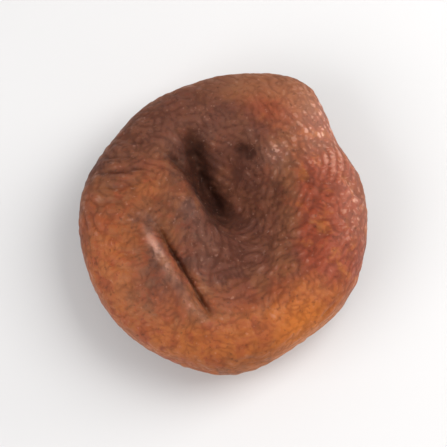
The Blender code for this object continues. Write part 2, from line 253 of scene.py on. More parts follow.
# Soft spots of the skin: middle and spread in millimetres, and share
PLACES = {
    # Where the skin stayed tight and smooth
    "smooth": (
        ((-13.0, -6.0, 11.0), (7.0, 9.0, 7.0), 0.9),
        ((0.0, -16.5, 8.0), (13.0, 5.0, 8.0), 0.9),
        ((13.0, -11.0, 8.0), (6.0, 6.0, 7.0), 0.6),
        ((1.0, 16.5, 11.0), (10.0, 5.0, 7.0), 0.95),
    ),
    # Where it is brightest
    "orange": (
        ((10.5, -14.0, 7.0), (6.0, 4.5, 7.0), 0.9),
        ((2.0, -18.5, 4.0), (12.0, 3.0, 6.0), 0.7),
        ((-13.0, -9.0, 9.0), (4.0, 6.0, 5.0), 0.35),
        ((17.0, -6.0, 5.0), (3.0, 6.0, 4.0), 0.35),
        ((4.0, 17.0, 3.0), (8.0, 4.0, 4.0), 0.4),
    ),
    # Where it kept a browner orange
    "amber": (
        ((-14.0, -6.0, 9.0), (5.0, 8.0, 7.0), 0.9),
        ((-3.0, -16.5, 8.0), (12.0, 4.5, 8.0), 0.95),
        ((12.0, -12.5, 8.0), (7.0, 5.0, 8.0), 1.0),
        ((-9.0, 3.0, 12.0), (4.0, 3.0, 4.0), 0.5),
        ((8.0, 15.0, 10.0), (5.0, 4.0, 5.0), 0.6),
        ((2.0, 2.0, 0.0), (9.0, 9.0, 3.0), 0.5),
    ),
    # Where it is red-brown
    "flush": (
        ((13.5, 3.0, 11.0), (5.0, 10.0, 6.0), 1.0),
        ((15.0, -5.0, 9.0), (5.0, 7.0, 6.0), 1.0),
        ((7.0, 15.0, 12.0), (7.0, 4.5, 6.0), 0.8),
        ((-16.0, 0.0, 9.0), (4.0, 5.0, 6.0), 0.7),
        ((-6.0, -13.0, 11.0), (4.0, 4.0, 5.0), 0.5),
        ((4.0, -11.0, 11.0), (8.0, 3.5, 5.0), 0.6),
        ((-12.0, 4.0, 3.0), (8.0, 9.0, 3.0), 0.5),
    ),
    # Where it is a greyish tan on the tongue and the rim's far side, with painted highlights on the top right
    # of the rim, its right edge, the lip by the sharp crease and the low ridge at the front
    "pale": (
        ((-7.2, 3.0, 12.0), (3.0, 3.5, 4.0), 0.5),
        ((5.0, 5.0, 9.5), (3.5, 5.0, 4.0), 0.45),
        ((1.5, -10.5, 12.0), (3.0, 2.0, 4.0), 0.5),
        ((-6.6, -10.5, 12.0), (2.0, 4.0, 4.0), 0.5),
        ((3.0, 18.0, 11.0), (9.0, 3.5, 6.0), 1.0),
        ((-9.5, 12.0, 11.0), (2.0, 2.0, 4.0), 0.7),
        ((10.5, 14.0, 11.0), (4.0, 4.5, 5.0), 0.6),
        ((18.0, 0.0, 9.0), (2.5, 10.0, 5.0), 0.5),
    ),
    # Where the ridges of its wrinkles get painted glints, with a little frost
    "glint_frost": (
        ((12.8, 12.8, 12.0), (3.4, 5.5, 3.0), 1.2),
        ((7.0, 8.2, 11.0), (1.4, 1.6, 3.0), 0.8),
        ((16.8, 2.0, 11.0), (2.2, 6.0, 3.2), 0.7),
        ((18.6, -1.0, 8.0), (2.0, 9.0, 2.4), 0.25),
        ((13.5, 14.0, 8.5), (3.0, 4.0, 2.4), 0.25),
    ),
    # Where the skin is greyer, with painted shade on the upper left and in the hollow
    "greyer_and_shaded": (
        ((-12.0, 9.5, 10.0), (6.0, 5.5, 7.0), 1.0),
        ((-5.0, 14.5, 10.0), (8.0, 4.5, 8.0), 1.0),
        ((3.0, 10.0, 9.5), (5.0, 4.0, 4.0), 0.9),
        ((-5.5, 10.8, 11.0), (2.5, 2.5, 4.0), 0.6),
        ((-17.5, 2.0, 6.0), (3.0, 8.0, 6.0), 0.7),
        ((1.0, -5.0, 9.0), (6.0, 4.4, 5.0), 1.0),
        ((-2.6, -2.0, 10.5), (3.6, 3.2, 4.0), 0.8),
    ),
}

# Noises on the skin: how many to the metre, detail, roughness, and distortion where there is any
PATCHES = (170.0, 4.0, 0.55, 0.3)
BLOTCHES = (430.0, 4.0, 0.6, 0.4)
GRAINS = (1500.0, 3.0, 0.6)
SPECKS = (3600.0, 3.0, 0.65)
BLOTCHES_IN_EDGES = 0.7

# The crinkle cells: how many to the metre, the width of their soft edges, and the noise that warps them
CELLS_TO_METRE = 1250.0
CELL_EDGE = 0.35
WARPS_TO_METRE = 900.0
WARP_DETAIL = 2.0
WARP_REACH = 0.9 * MM

# Ramps in the skin's colour: where each begins and is in full, and its strength before and after
PURPLE_IN_BROWN = (0.4, 0.62)
RED_IN_BROWN = (0.45, 0.7, 0.0, 0.5)
AMBER_IN_FLUSH = (0.5, 0.72)
RED_IN_AMBER = (0.42, 0.66, 0.0, 0.7)
# Painted shade in the slit and the wrinkles' valleys, painted highlights on ridges, glints with frost and on
# the crest
SHADED_SLIT = (0.3, 1.0, 0.0, 0.9)
SHADED_VALLEYS = (0.5, 0.1, 0.0, 0.55)
HIGHLIT_RIDGES = (0.62, 0.95, 0.0, 0.14)
GLINTING_FROSTED_RIDGES = (0.4, 0.84, 0.16, 0.8)
BROKEN_CREST_HIGHLIGHT = (0.38, 0.6, 0.1, 0.7)
DARK_FLECKS = (0.58, 0.72, 0.0, 0.4)
LIGHT_FLECKS = (0.38, 0.27, 0.0, 0.16)

# Coats of colour over the brown: the mask with its places, where the coat begins and is in full, how far
# noise breaks up its edge, and its strength
# The painted shade on the floor of the hollow
SHADE_IN_HOLLOW = ("depth", 0.0, 0.85, 0.5)
COATS = (
    ("flush", 0.2, 0.9, 1.0, 1.0),
    ("amber", 0.2, 0.8, 1.0, 1.0),
    ("orange", 0.25, 0.95, 0.8, 1.0),
    # Greyish tan skin, with painted highlights on the top right, the right edge, the crease's lip and the
    # front ridge
    ("pale", 0.2, 0.95, 1.0, 0.7),
    # Greyer skin, with painted shade on the upper left and in the hollow
    ("greyer_and_shaded", 0.15, 1.0, 1.0, 0.8),
    # The painted shade on the floor of the hollow
    (*SHADE_IN_HOLLOW, 0.7),
)

# What goes over the coats: the seam's orange, the tint of the painted shade in the wrinkles' valleys, and the
# places, strength and tint of the painted shade in the folds, over their darker skin; and the crinkles' share
# in the painted glints and frost, beside the relief's
SEAM_STRENGTH = 0.75
VALLEY_SHADE_TINT = (0.42, 0.32, 0.28)
SHADE_IN_FOLDS = ("fold", 0.2, 0.9, 0.6)
FOLD_SHADE_STRENGTH = 0.95
FOLD_SHADE_TINT = (0.22, 0.13, 0.09)
CRINKLE_IN_GLINT_AND_FROST = 0.45

# Roughness: its ramp over the relief, and how much rougher the skin is in valleys and on ridges, in the
# places of some masks, in the hollow, and from blotch to blotch
GLOSS_RELIEF = (0.2, 0.9)
ROUGHER_VALLEYS = 0.12
ROUGHER_RIDGES = -0.06
ROUGHER_PLACES = (("smooth", -0.05), ("pale", 0.2), ("greyer_and_shaded", 0.12))
ROUGHER_HOLLOW = 0.3
ROUGHER_BLOTCHES = 0.25

# Bumps: strength, and height in metres
CRINKLE_BUMP = (0.4, 0.05 * MM)
SPECK_BUMP = (0.5, 0.05 * MM)

# The skin's other properties
SKIN_SETTINGS = {
    "Subsurface Radius": (1.0, 0.32, 0.1),
    "Subsurface Scale": 1.6 * MM,
    "Specular IOR Level": 0.25,
    "Specular Tint": (1.0, 0.82, 0.7, 1.0),
    "Sheen Weight": 0.04,
    "Sheen Tint": (1.0, 0.8, 0.7, 1.0),
    "Sheen Roughness": 0.4,
}

# The lamps: place, width of the square, and colour
LAMPS = {
    "key": ((0.15, 0.055, 0.24), 0.20, (1.0, 0.985, 0.96)),
    "edge": ((0.22, 0.09, 0.08), 0.12, (1.0, 0.97, 0.94)),
    "fill": ((-0.24, -0.14, 0.22), 0.30, (1.0, 0.99, 0.98)),
}
LAMPS_AIM = (0.0, 0.0, 0.005)
DAYLIGHT = (1.0, 0.99, 0.98, 1.0)

# The table: its corners, and its gloss by a noise of so many to the metre
TABLE_CORNERS = ((-1.0, -1.0, 0.0), (1.0, -1.0, 0.0), (1.0, 1.0, 0.0), (-1.0, 1.0, 0.0))
TABLE_NOISE = 60.0
TABLE_GLOSS = (0.3, 0.7, 0.5, 0.62)


def paint(red, green, blue):
    """A colour as a screen shows it, 0 to 255, turned into the linear colour that the renderer works in."""
    parts = np.array((red, green, blue)) / 255.0
    linear = np.where(parts > 0.04045, ((parts + 0.055) / 1.055) ** 2.4, parts / 12.92)
    return tuple(float(part) for part in linear)


def smooth_step(low, high, value):
    """0 below low, 1 above high, with an S between them."""
    t = np.clip((value - low) / (high - low), 0.0, 1.0)
    return t * t * (3.0 - 2.0 * t)


def between(start, end, fading, along):
    """1 between two shares of the way along a line, fading to 0 inside each end."""
    return smooth_step(start, start + fading, along) * smooth_step(-end, fading - end, -along)


def bell(value, spread):
    """1 at zero, falling as exp(-(value / spread) squared)."""
    return np.exp(-((value / spread) ** 2))


def smooth_path(points, steps):
    """A Catmull-Rom curve through the points, at evenly spaced parameters."""
    p = np.array(points, float)
    p = np.vstack((2 * p[0] - p[1], p, 2 * p[-1] - p[-2]))
    at = np.linspace(0.0, len(points) - 1.0, steps)
    k = np.minimum(at.astype(int), len(points) - 2)
    t = (at - k)[:, None]
    a, b, c, d = p[k], p[k + 1], p[k + 2], p[k + 3]
    return 0.5 * (2 * b + (c - a) * t + (2 * a - 5 * b + 4 * c - d) * t**2 + (3 * b - a - 3 * c + d) * t**3)


def beside_path(points, u, v):
    """For each place (u, v): its distance from the path, positive on the left, the share of the way
    along, and the path's left-hand direction there."""
    path = smooth_path(points, PATH_STEPS)
    ahead = np.gradient(path, axis=0)
    step = np.hypot(ahead[:, 0], ahead[:, 1])
    ahead /= step[:, None]
    near = np.argmin((u[:, None] - path[:, 0]) ** 2 + (v[:, None] - path[:, 1]) ** 2, axis=1)
    du, dv = u - path[near, 0], v - path[near, 1]
    tu, tv = ahead[near, 0], ahead[near, 1]
    onward = du * tu + dv * tv
    past_end = np.maximum(np.abs(onward) - step[near], 0.0)
    aside = tu * dv - tv * du
    away = np.copysign(np.hypot(aside, past_end), aside)
    along = (near + np.clip(onward / step[near], -0.5, 0.5)) / (PATH_STEPS - 1.0)
    return away, np.clip(along, 0.0, 1.0), -tv, tu


def folded(fold, u, v):
    """How far a fold sinks the skin at (u, v), and how far its lip slides sideways over the cut: the cut
    is a bell of the distance from the line, and the lip is a bell set to the line's left."""
    away, along, left_u, left_v = beside_path(fold.path, u, v)
    fade = between(0.0, 1.0, FOLD_END, along)
    cut = fold.depth * np.exp(-((np.abs(away) / fold.width) ** fold.power))
    lip = fold.lip * bell(away - fold.lip_width, fold.lip_width)
    slide = fold.lean * bell(away - LEAN_PLACE * fold.lip_width, LEAN_SPREAD * fold.lip_width) * fade
    return (cut - lip) * fade, -slide * left_u, -slide * left_v


def outline(azimuth):
    """The plan's radius as a share of the ellipse: 1, with a bell for each soft corner and flat."""
    share = np.ones_like(azimuth)
    for direction, rise, spread in OUTLINE:
        turn = np.degrees(azimuth) - direction
        share += rise * bell((turn + 180.0) % 360.0 - 180.0, spread)
    return share


def hollow(px, py):
    """How far the hollow of the upper cheek sinks the skin."""
    from_u, from_v = px - HOLLOW_CENTRE[0], py - HOLLOW_CENTRE[1]
    hollow_u = (from_u * math.cos(HOLLOW_TURN) + from_v * math.sin(HOLLOW_TURN)) / HOLLOW_SPREAD[0]
    hollow_v = (from_v * math.cos(HOLLOW_TURN) - from_u * math.sin(HOLLOW_TURN)) / HOLLOW_SPREAD[1]
    return HOLLOW_DEPTH * np.exp(-(np.hypot(hollow_u, hollow_v) ** HOLLOW_POWER))


def seam(azimuth, above_girth):
    """How far the seam sinks the skin, how near a place is to the seam, and how deep in its slit."""
    arc = (azimuth % (2 * math.pi)) * HALF_WIDTH
    cut, _, _ = folded(SEAM, arc, above_girth)
    away, along, _, _ = beside_path(SEAM.path, arc, above_girth)
    slit = SLIT_DEPTH * bell(away, SEAM.width) * between(*SLIT_SPAN, SLIT_END, along)
    near_seam = bell(away, SEAM_NEARBY * SEAM.width) * between(0.0, 1.0, FOLD_END, along)
    return cut + slit, near_seam, slit


def body(directions):
    """Where each direction of the ball lands on the fruit before the puckers, how much painted shade, over
    their darker skin, its folds give it, how near the seam, and how deep in the slit. A slice is a
    super-ellipse, the plan an ellipse with soft corners, and a place sinks along the slice's normal by the
    hollow, the folds and the seam."""
    x, y, z = directions.T
    azimuth = np.arctan2(y, x)
    level = np.hypot(x, y)
    power = np.where(z > 0, CROWN_POWER, BELLY_POWER)
    size = (level**power + np.abs(z) ** power) ** (1.0 / power)
    reach, lift = level / size, z / size
    height = np.where(z > 0, CROWN, BELLY)
    share = outline(azimuth)
    ux, uy = np.cos(azimuth), np.sin(azimuth)
    px = reach * HALF_WIDTH * share * ux
    py = reach * HALF_LENGTH * share * uy
    pz = GIRTH_HEIGHT + lift * height

    steep = reach ** (power - 1.0)
    nx, ny = steep * ux / HALF_WIDTH, steep * uy / HALF_LENGTH
    nz = np.sign(z) * np.abs(lift) ** (power - 1.0) / height
    length = np.sqrt(nx**2 + ny**2 + nz**2)
    nx, ny, nz = nx / length, ny / length, nz / length

    above = smooth_step(*UPPER_CHEEK, lift)
    below = smooth_step(*LOWER_CHEEK, -lift)
    flank = smooth_step(*FLANK, reach)

    sink = hollow(px, py) * above
    for count, rise, crest in RIM_WAVES:
        sink -= rise * np.cos(count * (azimuth - math.radians(crest))) * reach**2 * above

    slide_x, slide_y = np.zeros_like(px), np.zeros_like(py)
    fold_shade = np.zeros_like(px)
    for folds, side in ((CHEEK_FOLDS, above), (BELLY_FOLDS, below)):
        for fold in folds:
            cut, along_x, along_y = folded(fold, px, py)
            sink += cut * side
            slide_x += along_x * side
            slide_y += along_y * side
            # A fold's painted shade, over its darker skin, grows with its cut
            fold_shade += np.maximum(cut, 0.0) * side * fold.shade_and_stain

    away, along, _, _ = beside_path(TONGUE, px, py)
    sink -= TONGUE_HEIGHT * bell(away, TONGUE_WIDTH) * smooth_step(*TONGUE_RISE, along) * above

    cut, near_seam, slit = seam(azimuth, pz - GIRTH_HEIGHT)
    sink += cut * flank

    points = np.stack((px + slide_x - nx * sink, py + slide_y - ny * sink, pz - nz * sink), axis=1)
    return points, fold_shade, near_seam * flank, slit * flank


def spiral_directions(count):
    """Directions spread evenly over the ball, along a spiral with the golden angle."""
    k = np.arange(count) + 0.5
    z = 1.0 - 2.0 * k / count
    turn = math.pi * (1.0 + math.sqrt(5.0)) * k
    level = np.sqrt(1.0 - z * z)
    return np.stack((level * np.cos(turn), level * np.sin(turn), z), axis=1)


def skin_axes(directions):
    """At each direction: the place on the body, the way down the slice from the pole, and the way round."""
    tiny = 1e-3
    nearest_to_pole = 1e-6
    x, y, z = directions.T
    level = np.maximum(np.hypot(x, y), nearest_to_pole)
    down = np.stack((x * z / level, y * z / level, -level), axis=1)
    round_way = np.stack((-y / level, x / level, np.zeros_like(x)), axis=1)
    place = body(directions)[0]
    ways = []
    for way in (down, round_way):
        moved = directions + tiny * way
        step = body(moved / np.linalg.norm(moved, axis=1, keepdims=True))[0] - place
        ways.append(step / np.linalg.norm(step, axis=1, keepdims=True))
    return place, ways[0], ways[1]


def grain(directions):
    """How far the puckers turn from straight down the slice, in radians: little on the left of the rim,
    most of a quarter turn on the right, and wandering on the lower cheek."""
    x, y, z = directions.T
    swirl = 0.5 * np.sin(3.1 * x + 1.7 * y + 2.3 * z) + 0.4 * np.sin(4.3 * y - 2.9 * z + 0.8)
    return swirl * (1.0 + smooth_step(0.2, 0.6, -z)) + 1.2 * smooth_step(-0.4, 0.3, x)


def puckers(points, kind):
    """The sum of many short wavelets on the skin, about 1 high: each is a cosine across its grain,
    under a bell that is longer along the grain than across it."""
    seed, count, length, stray = kind
    dice = np.random.default_rng(seed)
    directions = spiral_directions(count) + dice.normal(0.0, 0.5 / math.sqrt(count), (count, 3))
    directions /= np.linalg.norm(directions, axis=1, keepdims=True)
    place, down, round_way = skin_axes(directions)
    turn = grain(directions) + dice.normal(0.0, stray, count)
    wave = length * dice.uniform(*WAVELET_LENGTHS, count)
    phase = dice.uniform(0.0, 2.0 * math.pi, count)
    along = np.cos(turn)[:, None] * down + np.sin(turn)[:, None] * round_way
    across = np.cos(turn)[:, None] * round_way - np.sin(turn)[:, None] * down
    out = np.cross(along, across)
    total = np.zeros(len(points))
    weight = np.zeros(len(points))
    by_x = np.argsort(points[:, 0], kind="stable")
    sorted_x = points[by_x, 0]
    long_way, cross_way, out_way = WAVELET_SPREAD
    for k in range(count):
        reach = WAVELET_REACH * wave[k]
        low, high = np.searchsorted(sorted_x, (place[k, 0] - reach, place[k, 0] + reach))
        near = by_x[low:high]
        offset = points[near] - place[k]
        close = np.abs(offset).max(axis=1) < reach
        near, offset = near[close], offset[close]
        a, b, c = offset @ along[k], offset @ across[k], offset @ out[k]
        a, b, c = a / wave[k], b / wave[k], c / wave[k]
        hill = np.exp(-((a / long_way) ** 2 + (b / cross_way) ** 2 + (c / out_way) ** 2))
        total[near] += hill * np.cos(2.0 * math.pi * b + phase[k])
        weight[near] += hill**2
    return total / np.sqrt(weight + WEIGHT_FLOOR)


def ball_grid(cells):
    """A cube's six square grids, welded along their edges and blown out to a ball, crowded towards the
    crown. A place on the cube is two whole numbers a and b on a side; its direction is the side's
    normal with tan(pi/4 a/cells) and tan(pi/4 b/cells) beside it."""
    steps = np.arange(-cells, cells + 1, 2)
    a, b = (part.ravel() for part in np.meshgrid(steps, steps, indexing="ij"))
    sides = []
    for axis in range(3):
        for sign in (1, -1):
            side = np.empty((a.size, 3), int)
            side[:, axis] = sign * cells
            side[:, (axis + 1) % 3] = a if sign > 0 else b
            side[:, (axis + 2) % 3] = b if sign > 0 else a
            sides.append(side)
    key = (np.concatenate(sides) + cells) @ np.array((1, 4 * cells, 16 * cells * cells))
    _, first, index = np.unique(key, return_index=True, return_inverse=True)
    cube = np.concatenate(sides)[first] / cells
    k = np.arange(a.size).reshape(cells + 1, cells + 1)
    square = np.stack((k[:-1, :-1], k[1:, :-1], k[1:, 1:], k[:-1, 1:]), axis=-1).reshape(-1, 4)
    quads = index.ravel()[np.concatenate([square + side * a.size for side in range(6)])]
    ball = np.tan(cube * math.pi / 4.0)
    ball /= np.linalg.norm(ball, axis=1, keepdims=True)
    ball[:, 2] += CROWDING
    return ball / np.linalg.norm(ball, axis=1, keepdims=True), quads


def vertex_normals(points, quads):
    """The mean of the normals of the faces round each point."""
    a, b, c, d = (points[quads[:, k]] for k in range(4))
    face = np.cross(c - a, d - b)
    normals = np.zeros_like(points)
    for k in range(4):
        for axis in range(3):
            normals[:, axis] += np.bincount(quads[:, k], face[:, axis], len(points))
    return normals / np.linalg.norm(normals, axis=1, keepdims=True)


def puffed(wave):
    """A wave turned into puffy ridges between sharp valleys: the root of its square, less its mean."""
    return np.sqrt(wave**2 + PUFF_ROUNDING) - PUFF_MEAN


def fruit_surface(shape):
    """The whole skin: its points, its faces, and the masks that its material reads."""
    directions, quads = ball_grid(shape.cells)
    points, fold_shade, near_seam, slit = body(directions)
    masks = {
        "seam": near_seam,
        "slit": slit / SLIT_DEPTH,
        # The folds' mask: painted shade over the darker skin in them
        "fold": np.sqrt(np.clip(fold_shade / FULLY_SHADED_FOLD, 0.0, 1.0)),
    }
    z = points[:, 2]
    clear = smooth_step(0.0, CLEAR_OF_TABLE, z)

    normals = vertex_normals(points, quads)
    wave = puckers(points, COARSE)
    upward = smooth_step(*PUCKER_CHANGE, z)
    height = shape.pucker_below + (shape.pucker_above - shape.pucker_below) * upward
    at_girth = smooth_step(*GIRTH_SLOPE, 1.0 - np.abs(normals[:, 2]))
    height *= (1.0 - (1.0 - PUCKER_AT_GIRTH) * at_girth) * clear
    points = points + normals * (height * puffed(wave))[:, None]

    rough = 1.0 - TIGHTNESS * mark(points, PLACES["smooth"])
    normals = vertex_normals(points, quads)
    wrinkles = puffed(puckers(points, MIDDLE))
    crinkles = puffed(puckers(points, FINE))
    crinkled = CRINKLE_ON_TIGHT + (1.0 - CRINKLE_ON_TIGHT) * rough
    rise = shape.wrinkle_height * rough * wrinkles + shape.crinkle_height * crinkled * crinkles
    rise *= 1.0 - (1.0 - WRINKLE_IN_SLIT) * smooth_step(*SLIT_LIPS, masks["slit"])
    rise *= WRINKLE_ON_TABLE + (1.0 - WRINKLE_ON_TABLE) * clear
    points = points + normals * rise[:, None]

    points[points[:, 2] < RESTING, 2] = 0.0
    low, high = points.min(axis=0), points.max(axis=0)
    size = np.array((shape.width, shape.length, shape.height))
    points = (points - (low + high) / 2.0) * (size / (high - low)) + np.array((0.0, 0.0, shape.height / 2.0))

    masks.update({name: mark(points, places) for name, places in PLACES.items()})
    relief = 0.5 + RELIEF_OF_WRINKLES * rough * wrinkles + RELIEF_OF_CRINKLES * crinkles
    masks["relief"] = np.clip(relief, 0.0, 1.0)
    # The painted shade on the floor of the hollow
    masks["depth"] = hollow_shade(points)
    # The painted highlight on the crest beside the sharp crease
    masks["crest"] = crest_highlight(points)
    return points, quads, masks


def hollow_shade(points):
    """How much painted shade a place gets in the hollow of the upper cheek: 0 on the rim, 1 in the deepest
    valley.
    """
    x, y, z = points.T
    inside = bell(np.hypot((x - SHADE_CENTRE[0]) / SHADE_NARROW, y - SHADE_CENTRE[1]), SHADE_SPREAD)
    top_starts, top_ends = SHADE_UPPER_EDGE
    return inside * smooth_step(*SHADE_LOWER_EDGE, z) * smooth_step(-top_ends, -top_starts, -z)


def crest_highlight(points):
    """How near a place is to the crest beside the sharp crease, which gets a painted highlight."""
    x, y, z = points.T
    away, along, _, _ = beside_path(ROLLED_EDGE.path, x, y)
    fade_starts, fade_ends = CREST_END
    part = smooth_step(*CREST_START, along) * smooth_step(-fade_ends, -fade_starts, -along)
    bright = bell(along - CREST_BRIGHTEST, CREST_BRIGHT_SPREAD)
    part *= CREST_ELSEWHERE + (1.0 - CREST_ELSEWHERE) * bright
    return bell(away - CREST_AWAY, CREST_SPREAD) * part * smooth_step(*CREST_HEIGHT, z)


def mark(points, places):
    """The sum of soft spots, each its share in the middle and falling off as a bell, at most 1 in all."""
    total = np.zeros(len(points))
    for where, spread, share in places:
        offset = (points - np.array(where) * MM) / (np.array(spread) * MM)
        total += share * np.exp(-(offset**2).sum(axis=1))
    return np.clip(total, 0.0, 1.0)


class Wiring:
    """Adds nodes to a material and joins them: an input is given a value, or a socket to be linked."""

    def __init__(self, name):
        self.material = bpy.data.materials.new(name)
        self.material.use_nodes = True
        self.tree = self.material.node_tree
        self.shader = self.tree.nodes["Principled BSDF"]

    def put(self, socket, value):
        """Give an input a value, or link it."""
        if isinstance(value, bpy.types.NodeSocket):
            self.tree.links.new(value, socket)
        else:
            socket.default_value = value

    def node(self, kind, inputs, **settings):
        made = self.tree.nodes.new(kind)
        for name, value in settings.items():
            setattr(made, name, value)
        for name, value in inputs.items():
            self.put(made.inputs[name], value)
        return made

    def place(self):
        """Where a point of the surface is, in metres."""
        return self.tree.nodes.new("ShaderNodeTexCoord").outputs["Object"]

    def mask(self, name):
        """One of the mesh's masks."""
        return self.node("ShaderNodeAttribute", {}, attribute_name=name).outputs["Fac"]

    def noise(self, scale, detail=3.0, roughness=0.5, distortion=0.0):
        inputs = {"Vector": self.place(), "Scale": scale, "Detail": detail}
        inputs.update({"Roughness": roughness, "Distortion": distortion})
        return self.node("ShaderNodeTexNoise", inputs).outputs["Fac"]

    def math(self, operation, a, b, c=0.0):
        made = self.tree.nodes.new("ShaderNodeMath")
        made.operation = operation
        for socket, value in zip(made.inputs, (a, b, c)):
            self.put(socket, value)
        return made.outputs[0]

    def vector(self, operation, inputs):
        return self.node("ShaderNodeVectorMath", inputs, operation=operation).outputs[0]

    def ramp(self, value, low, high, to_low=0.0, to_high=1.0):
        """A soft ramp from one number to another as the value goes from low to high."""
        inputs = {"Value": value, "From Min": low, "From Max": high, "To Min": to_low, "To Max": to_high}
        return self.node("ShaderNodeMapRange", inputs, interpolation_type="SMOOTHSTEP").outputs[0]

    def mix(self, share, first, second, blend="MIX"):
        """The first colour with a share of the second over it."""
        made = self.tree.nodes.new("ShaderNodeMix")
        made.data_type = "RGBA"
        made.blend_type = blend
        made.clamp_factor = True
        self.put(made.inputs[0], share)
        for socket, value in ((made.inputs[6], first), (made.inputs[7], second)):
            self.put(socket, value if isinstance(value, bpy.types.NodeSocket) else (*value, 1.0))
        return made.outputs[2]

    def bump(self, height, strength, distance, **under):
        """A bump of the given height field, over another bump if there is one."""
        inputs = {"Height": height, "Strength": strength, "Distance": distance, **under}
        return self.node("ShaderNodeBump", inputs).outputs[0]


def crinkle_cells(w):
    """Fine cells with wandering edges: 0 on an edge, 1 inside a cell."""
    place = w.place()
    noise = w.node("ShaderNodeTexNoise", {"Vector": place, "Scale": WARPS_TO_METRE, "Detail": WARP_DETAIL})
    shift = w.vector("SUBTRACT", {0: noise.outputs["Color"], 1: (0.5, 0.5, 0.5)})
    shift = w.vector("SCALE", {0: shift, "Scale": WARP_REACH})
    inputs = {"Vector": w.vector("ADD", {0: place, 1: shift}), "Scale": CELLS_TO_METRE}
    cells = w.node("ShaderNodeTexVoronoi", inputs, feature="DISTANCE_TO_EDGE")
    return w.ramp(cells.outputs["Distance"], 0.0, CELL_EDGE)


def place_share(w, uneven, name, low, high, broken):
    """How far a mask's places show, with their edges broken up by an uneven noise."""
    return w.ramp(w.math("MULTIPLY_ADD", uneven, broken, w.mask(name)), low, high)


def coated_colour(w, look, patches, blotches, uneven):
    """Brown with purple patches and red blotches, and the coats of the other colours in their places: painted
    shade on the hollow's floor, and painted shade and highlights in part of the greyer and the tan places.
    """
    coats = {
        "flush": w.mix(w.ramp(blotches, *AMBER_IN_FLUSH), look.red, look.amber),
        "amber": w.mix(w.ramp(blotches, *RED_IN_AMBER), look.amber, look.red),
        "orange": look.orange,
        # Greyish tan skin, with painted highlights
        "pale": look.tan,
        # Greyer skin, with painted shade
        "greyer_and_shaded": look.purple,
        # The painted shade on the hollow's floor
        "depth": look.umber,
    }
    colour = w.mix(w.ramp(patches, *PURPLE_IN_BROWN), look.brown, look.purple)
    colour = w.mix(w.ramp(blotches, *RED_IN_BROWN), colour, look.red)
    for name, low, high, broken, strength in COATS:
        share = w.math("MULTIPLY", place_share(w, uneven, name, low, high, broken), strength)
        colour = w.mix(share, colour, coats[name])
    return colour


def glints_and_frost(w, blotches, relief, crinkle):
    """How much painted highlight a place has: glints with a little frost on the ridges in their places, and
    the highlight on the crest by the crease.
    """
    ridges = w.math("MULTIPLY", relief, 1.0 - CRINKLE_IN_GLINT_AND_FROST)
    ridges = w.ramp(w.math("MULTIPLY_ADD", crinkle, CRINKLE_IN_GLINT_AND_FROST, ridges), *GLINTING_FROSTED_RIDGES)
    on_ridges = w.math("MULTIPLY", ridges, w.mask("glint_frost"))
    # The painted highlight on the crest
    on_crest_highlight = w.math("MULTIPLY", w.ramp(blotches, *BROKEN_CREST_HIGHLIGHT), w.mask("crest"))
    return w.math("MAXIMUM", on_ridges, on_crest_highlight)


def skin_colour(w, look, blotches, uneven, relief, crinkle, colour):
    """The coated colour, brighter on the seam, with painted shade in the slit and the wrinkles' valleys,
    painted shade over the darker skin of the folds, painted highlights on ridges, as glints with frost and on
    the crest, and flecked."""
    grains = w.noise(*GRAINS)
    colour = w.mix(w.math("MULTIPLY", w.mask("seam"), SEAM_STRENGTH), colour, look.orange)
    # Painted shade inside the slit
    colour = w.mix(w.ramp(w.mask("slit"), *SHADED_SLIT), colour, look.dark_and_slit_shade)
    # Painted shade in the wrinkles' valleys
    valley_shade = w.mix(1.0, colour, VALLEY_SHADE_TINT, "MULTIPLY")
    colour = w.mix(w.ramp(relief, *SHADED_VALLEYS), colour, valley_shade)
    # Painted highlight on the wrinkles' ridges
    colour = w.mix(w.ramp(relief, *HIGHLIT_RIDGES), colour, look.highlight_and_bloom)
    # Painted glints with a little frost on ridges, and the crest's painted highlight
    colour = w.mix(glints_and_frost(w, blotches, relief, crinkle), colour, look.highlight_and_bloom)
    # Painted shade in the folds, over their darker skin
    fold_shade = w.mix(1.0, colour, FOLD_SHADE_TINT, "MULTIPLY")
    colour = w.mix(w.math("MULTIPLY", place_share(w, uneven, *SHADE_IN_FOLDS), FOLD_SHADE_STRENGTH), colour, fold_shade)
    colour = w.mix(w.ramp(grains, *DARK_FLECKS), colour, look.dark_and_slit_shade)
    return w.mix(w.ramp(grains, *LIGHT_FLECKS), colour, look.highlight_and_bloom)


def skin_gloss(w, look, blotches, uneven, relief):
    """The skin's roughness: less on ridges and tight skin, more in the hollow and where it is greyish."""
    gloss = w.ramp(relief, *GLOSS_RELIEF, look.roughness + ROUGHER_VALLEYS, look.roughness + ROUGHER_RIDGES)
    for name, rougher in ROUGHER_PLACES:
        gloss = w.math("MULTIPLY_ADD", w.mask(name), rougher, gloss)
    gloss = w.math("MULTIPLY_ADD", place_share(w, uneven, *SHADE_IN_HOLLOW), ROUGHER_HOLLOW, gloss)
    return w.math("MULTIPLY_ADD", w.math("SUBTRACT", blotches, 0.5), ROUGHER_BLOTCHES, gloss)


